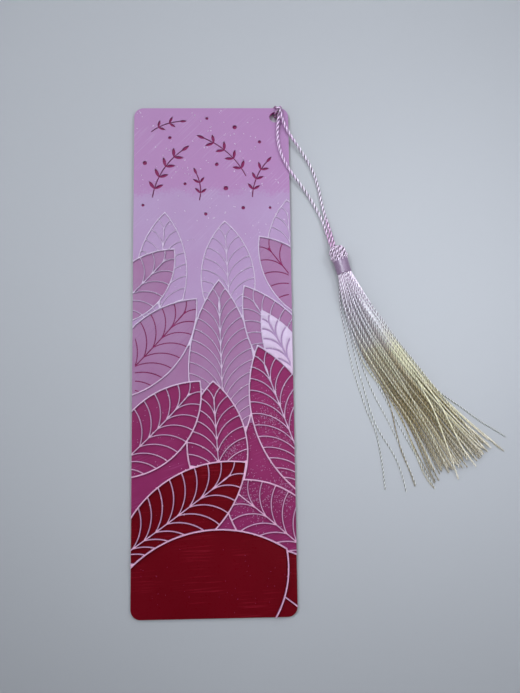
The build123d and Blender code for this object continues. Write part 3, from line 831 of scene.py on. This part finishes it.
# single bright threads that cross on top of the pile
for points in (
        [(42.2, 23.9, 4.3), (45.2, 17.0, 4.4), (50.6, 8.6, 4.2), (55.4, 1.4, 3.8), (59.8, -4.1, 3.5), (65.3, -13.3, 3.1), (67.9, -18.2, 2.8),
         (70.3, -24.5, 2.4), (72.7, -31.7, 1.8), (75.6, -40.2, 0.5)],
        [(42.9, 24.1, 4.1), (47.3, 16.2, 4.2), (54.3, 5.6, 3.9), (59.9, -2.4, 3.6), (65.4, -9.9, 3.2), (70.8, -18.2, 2.8), (73.9, -24.4, 2.4),
         (77.1, -31.0, 1.9), (81.1, -36.4, 1.1)],
        [(41.6, 23.7, 4.2), (43.6, 16.5, 4.2), (47.9, 7.0, 3.9), (53.5, -2.0, 3.5), (58.9, -10.5, 3.1), (64.0, -20.0, 2.6), (68.4, -29.0, 2.1),
         (72.0, -37.2, 1.4)],
        [(43.2, 24.3, 3.8), (48.2, 16.4, 3.7), (56.2, 4.2, 3.2), (63.5, -5.2, 2.9), (70.5, -13.8, 2.5), (77.4, -22.6, 2.1), (83.6, -31.0, 1.4)]):
    # On top of the pile these take a high tone: painted light.
    pts = spline(points, np.linspace(0, 1, 260))
    threads.append((0.3, 0.9, pts, (0.70, 0.70, 1.0, 1.0) if points[0][0] in (42.2, 42.9) else 0.74, 1.05))
# threads that leave the pile on its left and lie on the table
for points in (
        [(41.0, 23.6, 2.0), (41.7, 15.0, 1.4), (43.8, 5.6, 0.9), (48.9, -6.6, 0.5), (53.7, -12.4, 0.4), (56.8, -18.2, 0.3), (59.9, -24.4, 0.3),
         (62.5, -31.7, 0.3), (65.8, -39.8, 0.3), (68.1, -43.0, 0.3)],
        [(41.3, 23.6, 1.8), (42.8, 12.0, 1.1), (47.0, -0.7, 0.7), (52.1, -9.9, 0.5), (55.2, -17.4, 0.4), (56.9, -25.6, 0.3), (58.0, -30.5, 0.3),
         (61.0, -38.6, 0.3), (62.1, -42.2, 0.3)],
        [(41.4, 23.7, 2.0), (43.5, 11.0, 1.2), (49.0, -4.1, 0.7), (53.7, -12.4, 0.5), (58.4, -20.7, 0.4), (62.1, -29.7, 0.3), (66.7, -39.4, 0.3)],
        [(41.6, 23.8, 2.2), (44.6, 9.5, 1.4), (50.6, -4.1, 0.9), (56.1, -13.3, 0.6), (61.6, -22.3, 0.4), (66.6, -31.3, 0.3), (70.0, -38.6, 0.3)]):
    # All but the first are given a low tone: painted shade on the left of the pile.
    pts = spline(points, np.linspace(0, 1, 260))
    threads.append((-0.8, -0.3, pts, 0.70 if points[0][0] == 41.0 else rng.uniform(0.0, 0.22), 0.92))
# looser threads beside the pile, on the table
for side, count in ((-1, 5), (1, 5)):
    for k in range(count):
        u = side * rng.uniform(0.70, 0.95)
        out = side * rng.uniform(1.02, 1.22 if side < 0 else 1.12)
        bend = [out - u, rng.gauss(0, 0.03), rng.uniform(0.7, 1.3), rng.random(), 0.0, rng.uniform(0.0, 0.3)]
        v = rng.uniform(-0.4, 0.3) * math.sqrt(1 - u * u)
        pts, level = skirt_path(u, v, rng.uniform(0.94, 1.03), bend, 1.6)
        # Loose threads on the left get a low tone, painted shade; those on the right a high one, painted light.
        threads.append((u, v, pts, rng.uniform(0.0, 0.28) if side < 0 else rng.uniform(0.45, 1.0), 0.85))
threads.sort(key=lambda x: x[1])
GROUPS = 7
each = (len(threads) + GROUPS - 1) // GROUPS
for g in range(GROUPS):
    pool = Pool()
    for u, v, pts, tone_and_shade, thick in threads[g * each:(g + 1) * each]:
        lead = on_head(5.6, 1.8 * min(1.0, math.hypot(u, v)), math.atan2(v, u))
        line = resample(np.vstack([[lead], pts]) * MM, 0.19 * MM)
        f = np.linspace(0, 1, len(line))
        ply = (0.147 - 0.034 * smooth_step((f - 0.28) / 0.3)) * MM * thick
        off = (0.132 - 0.030 * smooth_step((f - 0.28) / 0.3) + 0.10 * rng.random() * smooth_step((f - 0.86) / 0.14)) * MM * thick
        pitch = (rng.uniform(1.9, 2.9) + 0.3 * smooth_step((f - 0.1) / 0.4)) * MM
        line[:, 2] = np.maximum(line[:, 2], ply + off + 0.01 * MM)
        pool.strands(line, ply, off, pitch, 6, phase=rng.random() * 6,
                     tone_and_shade=np.clip(np.interp(f, [0.0, 0.50, 0.64, 1.0], tone_and_shade) if isinstance(tone_and_shade, tuple) else tone_and_shade, 0.0, 1.0))
    ob = pool.build("skirt_threads_%d" % g, SKIRT)
    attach(ob, "tassel")
    if g == 0:
        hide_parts("tassel_skirt")

# threads that lie apart from the skirt
STRAYS = [
    [(40.2, 24.0, 1.6), (40.3, 17.5, 0.7), (40.7, 12.5, 0.30), (42.3, 2.7, 0.24), (43.9, -5.8, 0.22), (47.4, -18.2, 0.22),
     (50.6, -24.6, 0.22), (51.2, -29.0, 0.22), (52.2, -36.4, 0.22), (53.0, -43.0, 0.22)],
    [(40.6, 24.0, 1.3), (41.0, 17.0, 0.6), (42.2, 9.5, 0.30), (44.0, 1.5, 0.24), (46.2, -8.5, 0.22), (48.9, -18.5, 0.22),
     (51.2, -24.9, 0.22), (55.4, -31.5, 0.22), (58.4, -38.0, 0.22), (59.3, -44.0, 0.22)],
    [(40.9, 23.9, 1.2), (41.6, 16.0, 0.6), (43.4, 6.5, 0.30), (46.2, -3.0, 0.22), (49.6, -12.5, 0.22), (54.6, -22.5, 0.22),
     (58.8, -31.5, 0.22), (62.4, -41.8, 0.22)],
    [(41.2, 23.8, 1.1), (42.6, 13.0, 0.5), (46.9, -1.5, 0.3), (53.3, -14.0, 0.24), (57.4, -22.5, 0.22), (62.2, -32.0, 0.22),
     (68.3, -43.0, 0.22)],
    [(43.5, 24.6, 2.6), (48.7, 17.0, 1.6), (56.5, 5.6, 0.8), (64.0, -4.2, 0.4), (69.7, -12.0, 0.26), (73.4, -15.1, 0.24),
     (76.9, -17.5, 0.24), (80.1, -20.0, 0.24), (83.5, -22.4, 0.24), (87.0, -24.7, 0.24), (91.0, -27.3, 0.24)],
]
pool = Pool()
for route in STRAYS:
    line = resample(nurbs_line(route, 24), 0.16 * MM)
    line[:, 2] = np.maximum(line[:, 2], 0.235 * MM)
    wob = np.linspace(0, 1, len(line))
    f1, f2, amp = rng.uniform(2, 4), rng.uniform(5, 8), rng.uniform(0.08, 0.18)
    line[:, 0] += MM * amp * wob * np.sin(2 * np.pi * f1 * wob + rng.random() * 6)
    line[:, 1] += MM * 0.4 * amp * wob * np.sin(2 * np.pi * f2 * wob)
    pool.strands(line, 0.122 * MM, 0.108 * MM, rng.uniform(2.2, 2.8) * MM, 6, phase=rng.random() * 6,
                 tone_and_shade=0.5)
strays = pool.build("stray_thread_lines", STRAY)
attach(strays, "tassel")
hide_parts("stray_threads")

# ---- stage ----------------------------------------------------------------------
fl = Mat("floor_pale", Roughness=0.75, Specular_IOR_Level=0.15)
fco = fl.coords()
away = fl.node("ShaderNodeVectorMath", operation="DISTANCE")
fl.link(fco, away.inputs[0])
away.inputs[1].default_value = (0.02, 0.015, 0.0)
paler = fl.node("ShaderNodeMapRange", interpolation_type="SMOOTHSTEP")
fl.link(away.outputs["Value"], paler.inputs["Value"])
paler.inputs["From Min"].default_value = 0.132
paler.inputs["From Max"].default_value = 0.37
near = fl.mix(fl.remap(fl.noise(fco, 9.0, 2.0), 0.3, 0.7, 0.0, 1.0), (0.400, 0.405, 0.412), (0.411, 0.416, 0.423))
fl.to(fl.mix(paler.outputs["Result"], near, (0.90, 0.905, 0.912)), "Base Color")
# the floor far round the object is lit evenly, like a studio sweep
rim = fl.node("ShaderNodeVectorMath", operation="SUBTRACT")
fl.link(fco, rim.inputs[0])
rim.inputs[1].default_value = (0.017, 0.008, 0.0)
span = fl.node("ShaderNodeVectorMath", operation="DIVIDE")
fl.link(rim.outputs["Vector"], span.inputs[0])
span.inputs[1].default_value = (0.088, 0.112, 1.0)
power = span.outputs["Vector"]
for _ in range(3):
    twice = fl.node("ShaderNodeVectorMath", operation="MULTIPLY")
    fl.link(power, twice.inputs[0])
    fl.link(power, twice.inputs[1])
    power = twice.outputs["Vector"]
both = fl.node("ShaderNodeVectorMath", operation="DOT_PRODUCT")
fl.link(power, both.inputs[0])
both.inputs[1].default_value = (1.0, 1.0, 0.0)
sweep = fl.node("ShaderNodeMapRange", interpolation_type="SMOOTHSTEP")
fl.link(fl.math("POWER", both.outputs["Value"], 0.125), sweep.inputs["Value"])
for key, value in zip(("From Min", "From Max", "To Min", "To Max"), (1.09, 2.7, 0.0, 0.125)):
    sweep.inputs[key].default_value = value
fl.bsdf.inputs["Emission Color"].default_value = (0.86, 0.91, 1.0, 1.0)
fl.to(sweep.outputs["Result"], "Emission Strength")
half = 30.0
floor = mesh_object("floor", [(-half, -half, -0.00003), (half, -half, -0.00003), (half, half, -0.00003), (-half, half, -0.00003)],
                    [(0, 1, 2, 3)], fl.mat, smooth=False)

cam_data = bpy.data.cameras.new("camera")
cam_data.sensor_fit = "HORIZONTAL"
cam_data.sensor_width = 36.0
cam_data.lens = 656.8 * 36.0 / 520.0
cam_data.clip_start = 0.005
cam = link(bpy.data.objects.new("camera", cam_data))
cam.location = (9.084 * MM, -21.953 * MM, 205.438 * MM)
cam.rotation_euler = (0.11551, -0.0262, -0.01374)
scene.camera = cam

TINT = (0.86, 0.91, 1.0)
BASE, AIM, POOL = Vector((0.036, 0.056, 0.0)), Vector((0.044, 0.046, 0.0)), Vector((0.066, 0.026, 0.0))
for k, (az, el, dist, power, size, cone, at) in enumerate((
        (104, 44, 0.42, 0.120, 0.42, 27, AIM), (150, 60, 0.45, 0.093, 0.28, 27, AIM), (30, 58, 0.45, 0.079, 0.42, 27, AIM),
        (8, 52, 0.55, 0.058, 0.36, 27, AIM), (190, 35, 0.55, 0.023, 0.36, 27, AIM), (-60, 70, 0.50, 0.0125, 0.10, 19, POOL))):
    li = bpy.data.lights.new("soft_%d" % k, "AREA")
    li.shape = "DISK"
    li.size = size
    li.energy = power
    li.spread = math.radians(cone)
    li.color = TINT
    ob = link(bpy.data.objects.new("soft_%d" % k, li))
    a, e = math.radians(az), math.radians(el)
    ob.location = (BASE if at is AIM else at) + Vector((math.cos(a) * math.cos(e), math.sin(a) * math.cos(e), math.sin(e))) * dist
    ob.rotation_euler = (at - ob.location).to_track_quat("-Z", "Y").to_euler()
    ob.visible_camera = False
world = bpy.data.worlds.new("world")
scene.world = world
world.use_nodes = True
wt = world.node_tree
bg = wt.nodes["Background"]
sky_co = wt.nodes.new("ShaderNodeTexCoord")
sky_sep = wt.nodes.new("ShaderNodeSeparateXYZ")
sky_ramp = wt.nodes.new("ShaderNodeValToRGB")
wt.links.new(sky_co.outputs["Generated"], sky_sep.inputs[0])
wt.links.new(sky_sep.outputs["Z"], sky_ramp.inputs["Fac"])
wt.links.new(sky_ramp.outputs["Color"], bg.inputs["Color"])
ring = sky_ramp.color_ramp
while len(ring.elements) < 5:
    ring.elements.new(0.5)
for el, (pos, val) in zip(ring.elements, ((0.0, 0.405), (0.30, 0.520), (0.62, 0.520), (0.86, 0.114), (1.0, 0.050))):
    el.position = pos
    el.color = tuple(val * c for c in TINT) + (1.0,)
bg.inputs["Strength"].default_value = 1.0
